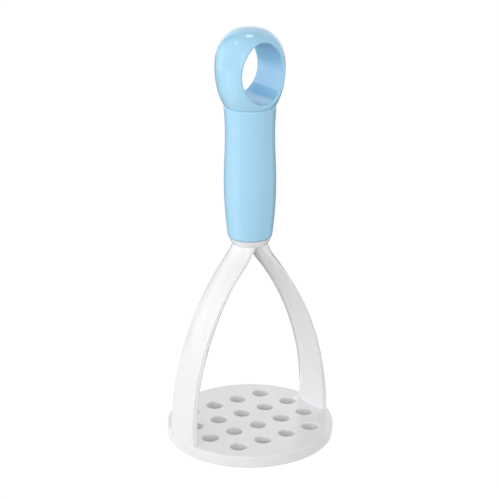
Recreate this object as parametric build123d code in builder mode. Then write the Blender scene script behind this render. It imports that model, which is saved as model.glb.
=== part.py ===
from build123d import *
import os

# Potato masher: a perforated plate, an arched yoke, a hollow grip and a ring to hang it by.
# Millimetres, +Z up, origin at the centre of the plate's underside.
# The two arms stand in the XZ plane and the eye of the ring runs along Y.

# Mashing plate
plate_diameter = 80.0
plate_thickness = 5.8
plate_edge_radius = 0.8
plate_rim_width = 6.0  # least width of plain rim outside the holes
mash_hole_diameter = 8.0
mash_hole_edge_radius = 0.4
mash_hole_pitch = 13.34  # along a row
mash_row_pitch = 14.65  # from row to row, every other row shifted by half a hole pitch

# Arms, from the foot on the plate to the collar
yoke_height = 94.2  # top of the plate to the seat of the grip
foot_inset = 0.9  # rim of the plate to the outer face of the foot
foot_half_width = 10.4
foot_inner_bulge = 3.35
foot_outer_bulge = 2.5
foot_edge_radius = 2.0
middle_half_width = 9.0
middle_inner_bulge = 4.7
middle_outer_bulge = 1.7
middle_edge_radius = 0.65
arm_top_half_width = 8.4
arm_top_inner_bulge = 2.85
arm_top_outer_bulge = 4.2
arm_top_edge_radius = 1.0
arm_section_count = 7
foot_rise = 28.8  # height over which the foot leaves the plate upright
shoulder_inset = 7.75  # how far the arm leans in at its shoulder
shoulder_depth = 30.9  # shoulder below the seat of the grip
arm_top_offset = 0.6  # end of each arm from the axis, inside the collar
arm_top_depth = 3.8  # end of each arm below the seat of the grip

# Tenons of the feet in the plate
tenon_length = 15.0
tenon_width = 2.6
tenon_clearance = 0.1

# Collar under the grip
collar_step = 0.35  # collar inside the bottom edge of the grip
collar_height = 3.1
collar_bulge = 0.2
collar_neck_inset = 1.1  # collar's foot inside its top
collar_edge_radius = 0.5
throat_width = 16.4  # block that fills the crotch of the arms under the collar
throat_thickness = 11.4
throat_height = 1.9

# Tang of the yoke inside the grip
tang_radius = 7.4
tang_rib_thickness = 3.0
tang_core_radius = 4.4
tang_length = 30.0
tang_clearance = 0.1
key_width = 9.0  # square end that stops the grip from turning
key_height = 3.0
key_clearance = 0.15

# Grip
grip_length = 61.8
grip_bottom_radius = 10.25
grip_bottom_slope = 0.14
grip_bottom_edge_radius = 0.7
belly_radius = 12.05
belly_height = 26.4  # above the bottom of the grip
waist_radius = 11.4
waist_height = 48.8
lip_radius = 12.0
lip_slope = 0.09
lip_edge_radius = 1.0
web_thickness = 4.0  # above the square socket
upper_bore_wall = 2.9  # at the waist

# Ring head
ring_height = 35.75
bulb_radius = 15.9
bulb_seat_radius = 11.75
bulb_seat_slope = 0.55
bulb_widest_height = 17.7  # above the seat on the grip
bulb_fullness = 0.333
crown_fullness = 0.645  # 0.552 would be an ellipse
bulb_seat_edge_radius = 0.45
eye_floor = 2.5  # material below the eye, above the seat
eye_roof = 5.5
eye_side_wall = 5.4
eye_edge_radius = 1.1
spigot_length = 11.0
spigot_wall = 2.4
spigot_clearance = 0.1
spigot_key_width = 3.0  # rib that lines the eye up with the arms
spigot_key_height = 1.0
snap_bead_height = 0.35
snap_bead_width = 1.6
snap_bead_crest = 0.6
snap_bead_depth = 7.5  # below the seat of the ring head

# Tie screw and washer
screw_radius = 2.5
screw_root_radius = 1.9
screw_pitch = 1.8
screw_length = 24.0  # under the head
screw_plain_length = 6.0
screw_tip_length = 2.5
screw_head_radius = 4.6
screw_head_height = 3.4
screw_head_edge_radius = 1.4
screw_hole_clearance = 0.3
pilot_clearance = 0.05
pilot_spare_depth = 2.0
recess_width = 1.3
recess_length = 5.2
recess_depth = 2.0
washer_radius = 6.0
washer_thickness = 1.0

# Heights and radii that follow from the sizes above
plate_radius = plate_diameter / 2
seat_z = plate_thickness + yoke_height
tang_top_z = seat_z + tang_length
web_top_z = tang_top_z + key_height + web_thickness
crease_z = seat_z + grip_length
foot_edge_x = plate_radius - foot_inset - foot_outer_bulge
tenon_x = foot_edge_x + (foot_outer_bulge - foot_inner_bulge) / 2
collar_radius = grip_bottom_radius - collar_step
neck_radius = collar_radius - collar_neck_inset
neck_z = seat_z - collar_height
upper_bore_radius = waist_radius - upper_bore_wall
spigot_radius = upper_bore_radius - spigot_clearance
widest_z = crease_z + bulb_widest_height
crown_z = crease_z + ring_height
eye_width = 2 * (bulb_radius - eye_side_wall)
eye_height = ring_height - eye_floor - eye_roof
eye_z = crease_z + eye_floor + eye_height / 2
bead_z = crease_z - snap_bead_depth
screw_seat_z = web_top_z + washer_thickness
screw_tip_z = screw_seat_z - screw_length


def along_arm(at_foot, at_middle, at_top, share):
    """Smooth value through three stations of an arm, where share runs from 0 at the foot to 1 at the top."""
    foot_part = at_foot * (1 - share) * (1 - 2 * share)
    middle_part = 4 * at_middle * share * (1 - share)
    top_part = at_top * share * (2 * share - 1)
    return foot_part + middle_part + top_part


def arm_section(share):
    """Lens across the arm: a flatter arc outside, a rounder arc inside, and rounded edges where they meet."""
    edge_radius = along_arm(foot_edge_radius, middle_edge_radius, arm_top_edge_radius, share)
    half_width = along_arm(foot_half_width, middle_half_width, arm_top_half_width, share) - edge_radius
    inner = along_arm(foot_inner_bulge, middle_inner_bulge, arm_top_inner_bulge, share) - edge_radius
    outer = along_arm(foot_outer_bulge, middle_outer_bulge, arm_top_outer_bulge, share) - edge_radius
    across = Plane(origin=arm_spine @ share, x_dir=(0, -1, 0), z_dir=arm_spine % share)
    with BuildSketch(across) as section:
        with BuildLine():
            ThreePointArc((-half_width, 0), (0, outer), (half_width, 0))
            ThreePointArc((half_width, 0), (0, -inner), (-half_width, 0))
        make_face()
        offset(amount=edge_radius)
    return section.sketch


def mash_hole_centres():
    """Rows of holes each side of the middle, every other row shifted, as far out as the plain rim allows."""
    reach = plate_radius - plate_rim_width - mash_hole_diameter / 2
    row_count = int(reach / mash_row_pitch + 0.5)
    column_count = int(reach / mash_hole_pitch)
    centres = []
    for row in range(row_count):
        y = (row + 0.5) * mash_row_pitch
        shift = row % 2 / 2
        for column in range(-column_count - 1, column_count + 1):
            x = (column + shift) * mash_hole_pitch
            if x * x + y * y <= reach * reach:
                centres += [(x, y), (x, -y)]
    return centres


def snap_section(inner_radius, outer_radius, spare):
    """Corners of the snap bead's section, or of its groove where there is something to spare all round."""
    foot = snap_bead_width / 2 + spare
    crest = snap_bead_crest / 2 + spare
    return [
        (inner_radius, bead_z - foot),
        (outer_radius, bead_z - crest),
        (outer_radius, bead_z + crest),
        (inner_radius, bead_z + foot),
    ]


# Mashing plate
with BuildPart() as mashing_plate:
    with BuildSketch():
        Circle(plate_radius)
    extrude(amount=plate_thickness)
    fillet(mashing_plate.edges().filter_by(GeomType.CIRCLE), radius=plate_edge_radius)
    with BuildSketch():
        with Locations(*mash_hole_centres()):
            Circle(mash_hole_diameter / 2)
    extrude(amount=plate_thickness, mode=Mode.SUBTRACT)
    fillet(mashing_plate.edges(Select.LAST).filter_by(GeomType.CIRCLE), radius=mash_hole_edge_radius)
    with BuildSketch():
        with Locations((-tenon_x, 0), (tenon_x, 0)):
            SlotOverall(tenon_length + 2 * tenon_clearance, tenon_width + 2 * tenon_clearance, rotation=90)
    extrude(amount=plate_thickness, mode=Mode.SUBTRACT)
mashing_plate.part.label = "mashing_plate"

# Yoke: two arms with tenoned feet, a collar and a ribbed tang
with BuildLine(Plane.XZ):
    arm_spine = Bezier(
        (foot_edge_x, plate_thickness),
        (foot_edge_x, plate_thickness + foot_rise),
        (foot_edge_x - shoulder_inset, seat_z - shoulder_depth),
        (arm_top_offset, seat_z - arm_top_depth),
    )
arm_sections = [arm_section(step / (arm_section_count - 1)) for step in range(arm_section_count)]

with BuildPart() as yoke:
    loft(sections=arm_sections)
    split(bisect_by=Plane.YZ)
    with BuildSketch():
        with Locations((tenon_x, 0)):
            SlotOverall(tenon_length, tenon_width, rotation=90)
    extrude(amount=plate_thickness)
    mirror(about=Plane.YZ)
    with BuildSketch(Plane.XZ):
        with BuildLine():
            collar_side = SagittaArc((neck_radius, neck_z), (collar_radius, seat_z), -collar_bulge)
            Polyline(collar_side @ 1, (0, seat_z), (0, neck_z), collar_side @ 0)
        make_face()
        fillet(vertices().sort_by(Axis.X)[-2], radius=collar_edge_radius)
    revolve(axis=Axis.Z)
    with BuildSketch(Plane.XY.offset(neck_z)):
        Ellipse(throat_thickness / 2, throat_width / 2)
    extrude(amount=-throat_height)
    with BuildSketch(Plane.XY.offset(seat_z)):
        Rectangle(2 * tang_radius, tang_rib_thickness)
        Rectangle(tang_rib_thickness, 2 * tang_radius)
        Circle(tang_core_radius)
        Circle(tang_radius, mode=Mode.INTERSECT)
    extrude(amount=tang_length)
    with BuildSketch(Plane.XY.offset(tang_top_z)):
        Rectangle(key_width, key_width)
    extrude(amount=key_height)
    with Locations((0, 0, tang_top_z + key_height)):
        Hole(screw_radius + pilot_clearance, depth=tang_top_z + key_height - screw_tip_z + pilot_spare_depth)
yoke.part.label = "yoke"

# Grip sleeve: hollow from both ends, with a web between that the screw pulls on
with BuildPart() as grip_sleeve:
    with BuildSketch(Plane.XZ):
        with BuildLine():
            grip_outline = Spline(
                (grip_bottom_radius, seat_z),
                (belly_radius, seat_z + belly_height),
                (waist_radius, seat_z + waist_height),
                (lip_radius, crease_z),
                tangents=[(grip_bottom_slope, 1), (0, 1), (0, 1), (lip_slope, 1)],
            )
            Polyline(grip_outline @ 1, (0, crease_z), (0, seat_z), grip_outline @ 0)
        make_face()
    revolve(axis=Axis.Z)
    fillet(grip_sleeve.edges().sort_by(Axis.Z)[0], radius=grip_bottom_edge_radius)
    fillet(grip_sleeve.edges().sort_by(Axis.Z)[-1], radius=lip_edge_radius)
    with BuildSketch(Plane.XY.offset(seat_z)):
        Circle(tang_radius + tang_clearance)
    extrude(amount=tang_length, mode=Mode.SUBTRACT)
    with BuildSketch(Plane.XY.offset(tang_top_z)):
        Rectangle(key_width + 2 * key_clearance, key_width + 2 * key_clearance)
    extrude(amount=key_height, mode=Mode.SUBTRACT)
    with BuildSketch(Plane.XY.offset(tang_top_z)):
        Circle(screw_radius + screw_hole_clearance)
    extrude(amount=key_height + web_thickness, mode=Mode.SUBTRACT)
    with BuildSketch(Plane.XY.offset(crease_z)):
        Circle(upper_bore_radius)
    extrude(amount=web_top_z - crease_z, mode=Mode.SUBTRACT)
    with BuildSketch(Plane.XY.offset(crease_z)):
        with Locations((upper_bore_radius, 0)):
            Rectangle(2 * spigot_key_height, spigot_key_width + 2 * spigot_clearance)
    extrude(amount=-spigot_length, mode=Mode.SUBTRACT)
    with BuildSketch(Plane.XZ):
        with BuildLine():
            Polyline(*snap_section(spigot_radius, upper_bore_radius + snap_bead_height, spigot_clearance), close=True)
        make_face()
    revolve(axis=Axis.Z, mode=Mode.SUBTRACT)
grip_sleeve.part.label = "grip_sleeve"

# Ring head: an egg with an oval eye, plugged into the top of the grip
with BuildPart() as ring_head:
    with BuildSketch(Plane.XZ):
        with BuildLine():
            flank = Bezier(
                (bulb_seat_radius, crease_z),
                (
                    bulb_seat_radius + bulb_seat_slope * bulb_fullness * bulb_widest_height,
                    crease_z + bulb_fullness * bulb_widest_height,
                ),
                (bulb_radius, widest_z - bulb_fullness * bulb_widest_height),
                (bulb_radius, widest_z),
            )
            crown = Bezier(
                flank @ 1,
                (bulb_radius, widest_z + crown_fullness * (crown_z - widest_z)),
                (crown_fullness * bulb_radius, crown_z),
                (0, crown_z),
            )
            Polyline(crown @ 1, (0, crease_z), flank @ 0)
        make_face()
    revolve(axis=Axis.Z)
    fillet(ring_head.edges().group_by(Axis.Z)[0], radius=bulb_seat_edge_radius)
    with BuildSketch(Plane.XZ):
        with Locations((0, eye_z)):
            Ellipse(eye_width / 2, eye_height / 2)
    extrude(amount=2 * bulb_radius, both=True, mode=Mode.SUBTRACT)
    eye_wall = ring_head.faces().filter_by(GeomType.EXTRUSION)
    fillet(eye_wall.edges().filter_by(GeomType.LINE, reverse=True), radius=eye_edge_radius)
    with BuildSketch(Plane.XY.offset(crease_z)):
        Circle(spigot_radius)
        with Locations((spigot_radius, 0)):
            Rectangle(2 * (spigot_key_height - spigot_clearance), spigot_key_width)
        Circle(spigot_radius - spigot_wall, mode=Mode.SUBTRACT)
    extrude(amount=-spigot_length)
    with BuildSketch(Plane.XZ):
        with BuildLine():
            Polyline(*snap_section(spigot_radius - spigot_wall / 2, spigot_radius + snap_bead_height, 0), close=True)
        make_face()
    revolve(axis=Axis.Z)
ring_head.part.label = "ring_head"

# Tie screw: pan head with a cross recess, threaded below a plain neck
thread_count = int((screw_length - screw_plain_length - screw_tip_length) / screw_pitch)
thread_outline = []
for turn in range(thread_count):
    thread_z = screw_seat_z - screw_plain_length - turn * screw_pitch
    thread_outline.append((screw_root_radius, thread_z))
    thread_outline.append((screw_radius, thread_z - screw_pitch / 2))
thread_end_z = screw_seat_z - screw_plain_length - thread_count * screw_pitch
thread_outline.append((screw_root_radius, thread_end_z))

with BuildPart() as tie_screw:
    with BuildSketch(Plane.XZ):
        with BuildLine():
            Polyline(
                (0, screw_seat_z + screw_head_height),
                (screw_head_radius, screw_seat_z + screw_head_height),
                (screw_head_radius, screw_seat_z),
                (screw_radius, screw_seat_z),
                (screw_radius, screw_seat_z - screw_plain_length),
                *thread_outline,
                (0, screw_tip_z),
                close=True,
            )
        make_face()
    revolve(axis=Axis.Z)
    fillet(tie_screw.edges().sort_by(Axis.Z)[-1], radius=screw_head_edge_radius)
    with BuildSketch(Plane.XY.offset(screw_seat_z + screw_head_height)):
        Rectangle(recess_length, recess_width)
        Rectangle(recess_width, recess_length)
    extrude(amount=-recess_depth, mode=Mode.SUBTRACT)
tie_screw.part.label = "tie_screw"

# Tie washer
with BuildPart() as tie_washer:
    with BuildSketch(Plane.XY.offset(web_top_z)):
        Circle(washer_radius)
        Circle(screw_radius + screw_hole_clearance, mode=Mode.SUBTRACT)
    extrude(amount=washer_thickness)
tie_washer.part.label = "tie_washer"

os.makedirs("parts", exist_ok=True)
for piece in (mashing_plate, yoke, grip_sleeve, ring_head, tie_screw, tie_washer):
    export_step(piece.part, f"parts/{piece.part.label}.step")
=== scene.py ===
import math

import bpy
import numpy as np
from bpy.props import FloatProperty, FloatVectorProperty, PointerProperty
from bpy.types import Operator, Panel, PropertyGroup
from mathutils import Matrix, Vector
from mathutils.geometry import delaunay_2d_cdt


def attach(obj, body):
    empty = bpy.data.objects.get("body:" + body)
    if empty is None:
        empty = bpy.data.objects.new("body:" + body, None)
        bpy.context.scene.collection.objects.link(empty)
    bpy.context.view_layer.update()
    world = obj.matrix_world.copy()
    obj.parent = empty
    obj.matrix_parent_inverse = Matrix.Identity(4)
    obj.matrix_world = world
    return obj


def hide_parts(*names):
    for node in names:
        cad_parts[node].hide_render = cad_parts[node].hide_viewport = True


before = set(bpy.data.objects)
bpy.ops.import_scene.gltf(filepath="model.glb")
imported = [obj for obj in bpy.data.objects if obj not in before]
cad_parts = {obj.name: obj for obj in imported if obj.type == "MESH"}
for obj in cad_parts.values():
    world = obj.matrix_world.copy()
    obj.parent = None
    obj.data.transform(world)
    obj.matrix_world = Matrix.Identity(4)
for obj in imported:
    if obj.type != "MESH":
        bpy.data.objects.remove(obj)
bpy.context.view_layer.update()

bl_info = {
    "name": "Potato masher",
    "version": (1, 0, 0),
    "blender": (4, 5, 0),
    "location": "3D View > Sidebar > Masher",
    "description": "Dresses the packed solids of a potato masher in smooth surfaces and moulded plastic",
    "category": "Add Mesh",
}

BODY = "root"
MM = 0.001
RIGHT_ANGLE = math.pi / 2
FULL_TURN = 2 * math.pi
UP = np.array([0.0, 0.0, 1.0])
WHITE = (1, 1, 1, 1)

WELD_STEP = 1e-7  # points closer than this become one
FILL_SLACK = 1e-9  # the same for the points of a flat face
SEAT_SLACK = 1e-6  # a point this close to the seat of the ring head lies on it
TINY = 1e-12  # keeps a division clear of zero

# How finely the plate is cut
RIM_SEGMENTS = 192
HOLE_SEGMENTS = 64
HOLE_EDGE_POINTS = 8
SLOT_END_POINTS = 24

# How finely the yoke is cut
SPINE_SAMPLES = 2001
ARM_STATIONS = 201
FLARE_STATIONS = 41
FACE_POINTS = 41
EDGE_POINTS = 17
COLLAR_SEGMENTS = 160
COLLAR_SIDE_POINTS = 24
TANG_SEGMENTS = 240

# How finely the grip and the ring head are cut
GRIP_SEGMENTS = 240
GRIP_SIDE_POINTS = 120
LIP_POINTS = 12
EGG_FOOT_POINTS = 60
EGG_POINTS = 1500
EYE_STATIONS = 321
EYE_WALL_POINTS = 9
EYE_EDGE_POINTS = 14
EGG_FACE_POINTS = 56
SPIGOT_SEGMENTS = 120
BALL_ROUNDS = 40  # steps that settle the ball in the mouth of the eye
HALVINGS = 60  # steps that find the outline of the ring head

SQUARE_BY = 0.4  # share of an arm's length by which its edges are fully square
FOOT_TILT = 0.01  # angle short of flat where the rounding above the crease starts
PEEL_DEPTH = 0.02 * MM  # depth of the plastic's fine skin
SHEEN_SPREAD = 0.12  # share by which the roughness of the plastic changes
FLOOR_HALF = 4.0  # half the width of the floor in metres
FLOOR_DROP = 0.2 * MM  # keeps the floor clear of the plate
WASH_STRENGTH = 1.2  # brings the washed floor up to plain white
FLOOR_FLAG_POINTS = 49
LEFT_FLAG_POINTS = 13
SENSOR_WIDTH = 36  # millimetres

# Width and height of the lamps and white cards in metres
LARGE_BOX = (0.6, 0.7)
RIM_BOX = (0.55, 0.4)
STRIP_WIDTH = 0.13
BACK_CARD = (1.2, 0.9)
TOP_SPOT = (0.15, 0.15)
SIDE_SPOT = (0.11, 0.1)

# Their azimuths from the front and elevations in degrees, and distances in metres
KEY_PLACE = (-95, 12, 0.95)
FRONT_PLACE = (-45, 12, 0.95)
RIM_PLACE = (-150, 10, 0.7)
STRIP_PLACE = (-97.6, 0, 0.16)
BACK_CARD_PLACE = (147, 26, 0.9)
TOP_SPOT_PLACE = (150, 77, 0.6)
SIDE_SPOT_PLACE = (-110, 51, 0.6)


def length(name, description, default_mm):
    """A size that the sidebar shows as a length, given here in millimetres."""
    return FloatProperty(
        name=name, description=description, default=default_mm * MM, unit="LENGTH", precision=5
    )


def ratio(name, description, default):
    """A plain number without a unit."""
    return FloatProperty(name=name, description=description, default=default, precision=4)


def degrees(name, description, default_degrees):
    """An angle, given here in degrees."""
    return FloatProperty(
        name=name, description=description, default=math.radians(default_degrees), subtype="ANGLE"
    )


def colour(name, description, default):
    """A linear colour with its picker."""
    return FloatVectorProperty(
        name=name, description=description, default=default, subtype="COLOR", min=0, max=1
    )


def power(name, description, default):
    """Power of a lamp in watts."""
    return FloatProperty(name=name, description=description, default=default, unit="POWER", precision=4)


class PlateSettings(PropertyGroup):
    """Sizes of the mashing plate."""

    diameter: length("Diameter", "Across the plate", 80)
    thickness: length("Thickness", "Underside to top", 5.8)
    edge_radius: length("Edge radius", "Rounding of both rims", 0.8)
    hole_diameter: length("Hole diameter", "Across each mash hole", 8)
    hole_edge_radius: length("Hole edge radius", "Rounding of the mouths of the holes", 0.4)
    hole_pitch: length("Hole pitch", "From hole to hole along a row", 13.34)
    row_pitch: length("Row pitch", "From row to row", 14.65)
    rim_width: length("Rim width", "Plain rim outside the holes, at least", 6)
    slot_clearance: length("Slot clearance", "Round the tenons of the yoke", 0.1)


class YokeSettings(PropertyGroup):
    """Sizes of the arms, the collar and the tang."""

    seat_height: length("Seat height", "Floor to the seat of the grip", 100)
    foot_x: length("Foot", "Axis to the edges of a foot", 36.6)
    foot_rise: length("Foot rise", "Height over which a foot leaves the plate upright", 28.8)
    shoulder_inset: length("Shoulder inset", "How far an arm leans in at its shoulder", 7.75)
    shoulder_depth: length("Shoulder depth", "Shoulder below the seat of the grip", 30.9)
    top_offset: length("Top offset", "End of an arm's spine from the axis", 0.6)
    top_depth: length("Top depth", "End of an arm's spine below the seat of the grip", 3.8)
    foot_half_width: length("Foot half width", "Half the width of a foot", 10.4)
    foot_inner: length("Foot inner bulge", "Inner face of a foot from its edges", 3.35)
    foot_outer: length("Foot outer bulge", "Outer face of a foot from its edges", 2.5)
    foot_edge: length("Foot edge radius", "Rounding of a foot's edges", 2)
    middle_half_width: length("Middle half width", "Half the width of an arm half way up", 9)
    middle_inner: length("Middle inner bulge", "Inner face half way up", 4.7)
    middle_outer: length("Middle outer bulge", "Outer face half way up", 1.7)
    middle_edge: length("Middle edge radius", "Rounding of the edges half way up", 0.95)
    top_half_width: length("Top half width", "Half the width of an arm at its top", 8.4)
    top_inner: length("Top inner bulge", "Inner face at the top", 2.85)
    top_outer: length("Top outer bulge", "Outer face at the top", 4.2)
    top_edge: length("Top edge radius", "Rounding of the edges at the top", 1.3)
    edge_squareness: ratio("Edge squareness", "2 makes an arm's edges round, more makes them squarer", 8.0)
    flare_start: ratio("Flare start", "Share of an arm's length where its turn into the collar starts", 0.89)
    flare_radius: length("Flare radius", "Axis to an arm's outer face under the collar", 7.4)
    flare_reach: length("Flare reach", "Half the width of the joined arms under the collar", 8.4)
    flare_depth: length("Flare depth", "End of the flare below the seat of the grip", 3.0)
    flare_tightness: ratio("Flare tightness", "How late the flare turns to the collar, from 0 to 1", 0.5)
    flare_upright: ratio("Flare upright", "0 ends the outer face along the arm, 1 ends it upright", 0.2)
    edge_upright: ratio("Edge upright", "The same for the edges and the inner face", 0.5)
    flare_corner: degrees("Flare corner", "Where an arm's edges meet the neck, from the arm's middle", 62)
    slot_half_width: length("Slot half width", "Half the gap between the arms' edges under the collar", 1.3)
    slot_reach: length("Slot reach", "Axis to the inner corners of an arm's edges under the collar", 7.7)
    slot_overlap: length("Slot overlap", "How far an arm's inner face runs past the axis there", 1.5)
    edge_swell: length("Edge swell", "Rounding of an arm's edges under the collar", 0.3)
    collar_radius: length("Collar radius", "Collar at the seat of the grip", 9.9)
    collar_height: length("Collar height", "Height of the collar", 3.7)
    collar_bulge: length("Collar bulge", "How far the collar's side swells", 0.2)
    neck_radius: length("Neck radius", "Foot of the collar", 8.2)
    collar_edge: length("Collar edge radius", "Rounding of the collar's foot", 1.0)
    collar_lip: length("Collar lip radius", "Rounding of the collar's top edge", 0.2)
    groove_height: length("Groove height", "Gap between the grip and the edge of the collar", 0.35)
    groove_depth: length("Groove depth", "How far that gap reaches in", 1.1)
    tenon_length: length("Tenon length", "Length of a tenon in the plate", 15)
    tenon_width: length("Tenon width", "Width of a tenon in the plate", 2.6)
    tang_radius: length("Tang radius", "Tips of the ribs inside the grip", 7.4)
    tang_rib: length("Tang rib", "Thickness of a rib", 3)
    tang_core: length("Tang core", "Radius of the tang's core", 4.4)
    tang_length: length("Tang length", "Seat of the grip to the square end", 30)
    key_width: length("Key width", "Across the square end", 9)
    key_height: length("Key height", "Height of the square end", 3)
    pilot_radius: length("Pilot radius", "Hole for the tie screw", 2.55)


class GripSettings(PropertyGroup):
    """Sizes of the hollow grip."""

    bottom_z: length("Bottom", "Floor to the bottom of the grip", 100)
    length: length("Length", "Bottom of the grip to the crease", 61.8)
    bottom_radius: length("Bottom radius", "At the collar", 10.25)
    bottom_slope: ratio("Bottom slope", "Widening at the bottom", 0.14)
    bottom_edge: length("Bottom edge radius", "Rounding at the bottom", 0.7)
    belly_radius: length("Belly radius", "Widest place in the palm", 12.05)
    belly_height: length("Belly height", "Bottom to the belly", 26.4)
    waist_radius: length("Waist radius", "Narrow place above the belly", 11.4)
    waist_height: length("Waist height", "Bottom to the waist", 48.8)
    lip_radius: length("Lip radius", "At the crease", 12)
    lip_slope: ratio("Lip slope", "Widening at the crease", 0.09)
    lip_edge: length("Lip edge radius", "Rounding at the crease", 1)
    tang_bore: length("Tang bore", "Radius of the lower bore", 7.5)
    tang_depth: length("Tang depth", "Depth of the lower bore", 30)
    socket_width: length("Socket width", "Across the square socket", 9.3)
    socket_height: length("Socket height", "Height of the square socket", 3)
    web: length("Web", "Wall between the bores", 4)
    screw_hole: length("Screw hole", "Radius of the hole in the web", 2.8)
    upper_bore: length("Upper bore", "Radius of the bore for the ring head", 8.5)


class RingSettings(PropertyGroup):
    """Sizes of the ring head."""

    seat_z: length("Seat", "Floor to the crease", 161.8)
    height: length("Height", "Crease to the crown", 35.75)
    radius: length("Radius", "Widest place", 15.9)
    seat_radius: length("Seat radius", "At the crease", 11.75)
    seat_slope: ratio("Seat slope", "Widening above the crease", 0.55)
    seat_edge: length("Seat edge radius", "Rounding at the crease", 0.45)
    widest_height: length("Widest height", "Crease to the widest place", 17.7)
    flank_fullness: ratio("Flank fullness", "Pull of the flank's curve", 0.333)
    crown_fullness: ratio("Crown fullness", "Pull of the crown's curve", 0.645)
    eye_floor: length("Eye floor", "Crease to the bottom of the eye", 2.5)
    eye_roof: length("Eye roof", "Top of the eye to the crown", 5.5)
    eye_side: length("Eye side", "Wall beside the eye", 5.4)
    eye_edge: length("Eye edge radius", "Rounding of the eye's mouths", 0.8)
    spigot_radius: length("Spigot radius", "Plug in the top of the grip", 8.4)
    spigot_wall: length("Spigot wall", "Wall of the plug", 2.4)
    spigot_length: length("Spigot length", "Length of the plug", 11)


class FinishSettings(PropertyGroup):
    """Colours and gloss of the two plastics and the steel."""

    blue: colour("Blue", "Handle plastic", (0.405, 0.722, 0.942))
    blue_deep: colour("Deep blue", "Where the handle plastic is a little denser", (0.395, 0.712, 0.932))
    blue_gloss: ratio("Blue roughness", "Mean roughness of the handle", 0.07)
    white: colour("White", "Yoke and plate plastic", (0.892, 0.898, 0.910))
    white_warm: colour("Warm white", "Where the white plastic is a little denser", (0.882, 0.888, 0.900))
    white_gloss: ratio("White roughness", "Mean roughness of the yoke and plate", 0.14)
    steel: colour("Steel", "Screw and washer", (0.60, 0.60, 0.62))
    steel_dark: colour("Dark steel", "Grain in the screw and washer", (0.46, 0.46, 0.48))


class StageSettings(PropertyGroup):
    """Camera, lamps and floor."""

    lens: FloatProperty(name="Lens", description="Focal length", default=108.5, unit="CAMERA")
    distance: length("Distance", "Camera to the point it looks at", 701.5)
    aim_height: length("Aim height", "Height of the point the camera looks at", 92.6)
    azimuth: degrees("Azimuth", "Camera round the object", -32.2)
    pitch: degrees("Pitch", "Camera above the horizon", 19.77)
    crown_height: length("Crown height", "Height of the ring head's shoulder, where highlights fall", 190)
    strip_height: length("Strip height", "Height of the white card that stands on the floor", 150)
    key_power: power("Key power", "Soft box at the left", 1.75)
    front_power: power("Front power", "Soft box at the left of the camera, a little lower", 2.0)
    rim_power: power("Rim power", "Soft box behind, at the left", 0.57)
    back_card_power: power("Back card", "White card that shows in the gloss on the crown", 1.6)
    top_spot_power: power("Top spot", "Small lamp that shows in the gloss near the crown", 0.4)
    side_spot_power: power("Side spot", "Small lamp that shows in the gloss on the shoulder", 0.12)
    strip_card_power: power("Strip card", "White card that shows in the gloss of the grip", 0.055)
    flag_near: length("Flag near edge", "Axis to the near edge of the dark card on the floor", 60)
    flag_far: length("Flag far edge", "Axis to the far edge of that card and to the upright one", 1300)
    flag_height: length("Flag height", "Height of the upright dark card", 2000)
    flag_start: degrees("Flag start", "Right end of the dark card on the floor", 88)
    flag_stop: degrees("Flag stop", "Left end of both dark cards", 208)
    flag_turn: degrees("Flag turn", "Angle that the upright card takes up", 26)
    flag_grey: colour("Flag", "Colour of the dark cards", (0.35, 0.35, 0.35))
    ambient: ratio("Ambient", "Strength of the room's light from the sides", 1.43)
    ambient_fall: ratio("Ambient fall", "Share of the room's light that is missing straight above", 0.88)
    floor_white: colour("Floor", "Colour of the floor", (0.52, 0.52, 0.52))
    floor_wash: ratio("Floor wash", "Share of plain white in the floor as it is seen", 0.8)


def unit(vectors):
    """Vectors scaled to length one along the last axis, and zero ones left alone."""
    return vectors / np.maximum(np.linalg.norm(vectors, axis=-1, keepdims=True), TINY)


def around(angle):
    """Directions round a circle: (cos a, sin a)."""
    return np.stack([np.cos(angle), np.sin(angle)], -1)


def turns(count):
    """Angles spread evenly over a full turn."""
    return np.linspace(0, FULL_TURN, count, endpoint=False)


def polar(radius, angle):
    """Closed outline with one radius, or one for each angle: (r cos a, r sin a)."""
    return np.broadcast_to(radius, angle.shape)[:, None] * around(angle)


def square_radius(width, angle):
    """Radius of a square at each angle: half its width / max(|cos a|, |sin a|)."""
    return width / 2 / np.abs(around(angle)).max(-1)


def at_height(flat, height):
    """Points (x, y, z) from pairs (x, y) and their height z."""
    return np.concatenate([flat, np.broadcast_to(height, flat.shape[:-1])[..., None]], -1)


def at_depth(flat, depth):
    """Points (x, y, z) from pairs (x, z) and their depth y."""
    x, z = (np.broadcast_to(flat[..., axis], depth.shape) for axis in (0, 1))
    return np.stack([x, depth, z], -1)


def line(start, end):
    """Straight stretch of a profile in (r, z), with its normal on the right-hand side, which is outside."""
    step = np.subtract(end, start)
    normal = np.array([step[1], -step[0]]) / np.hypot(*step)
    return np.array([start, end], float), np.stack([normal, normal])


def arc(centre, radius, start, stop, count=10):
    """Rounded corner of a profile: centre + radius (cos a, sin a), with a from start to stop."""
    normals = around(np.linspace(start, stop, count))
    return np.array(centre) + radius * normals, normals


def curve(points):
    """Free stretch of a profile, whose normals stand square to the steps between its points."""
    step = np.gradient(points, axis=0)
    return points, unit(np.stack([step[:, 1], -step[:, 0]], 1))


def joined(*stretches):
    """One profile from several stretches laid end to end, or one patch from several."""
    points, normals = zip(*stretches)
    return np.concatenate(points), np.concatenate(normals)


def lathe(profile, segments):
    """Profile turned about Z: (r, z) goes to (r cos a, r sin a, z) for a full turn of a."""
    circle = around(np.linspace(0, FULL_TURN, segments + 1))
    return tuple(at_height(pair[:, None, :1] * circle, pair[:, 1:]) for pair in profile)


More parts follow.
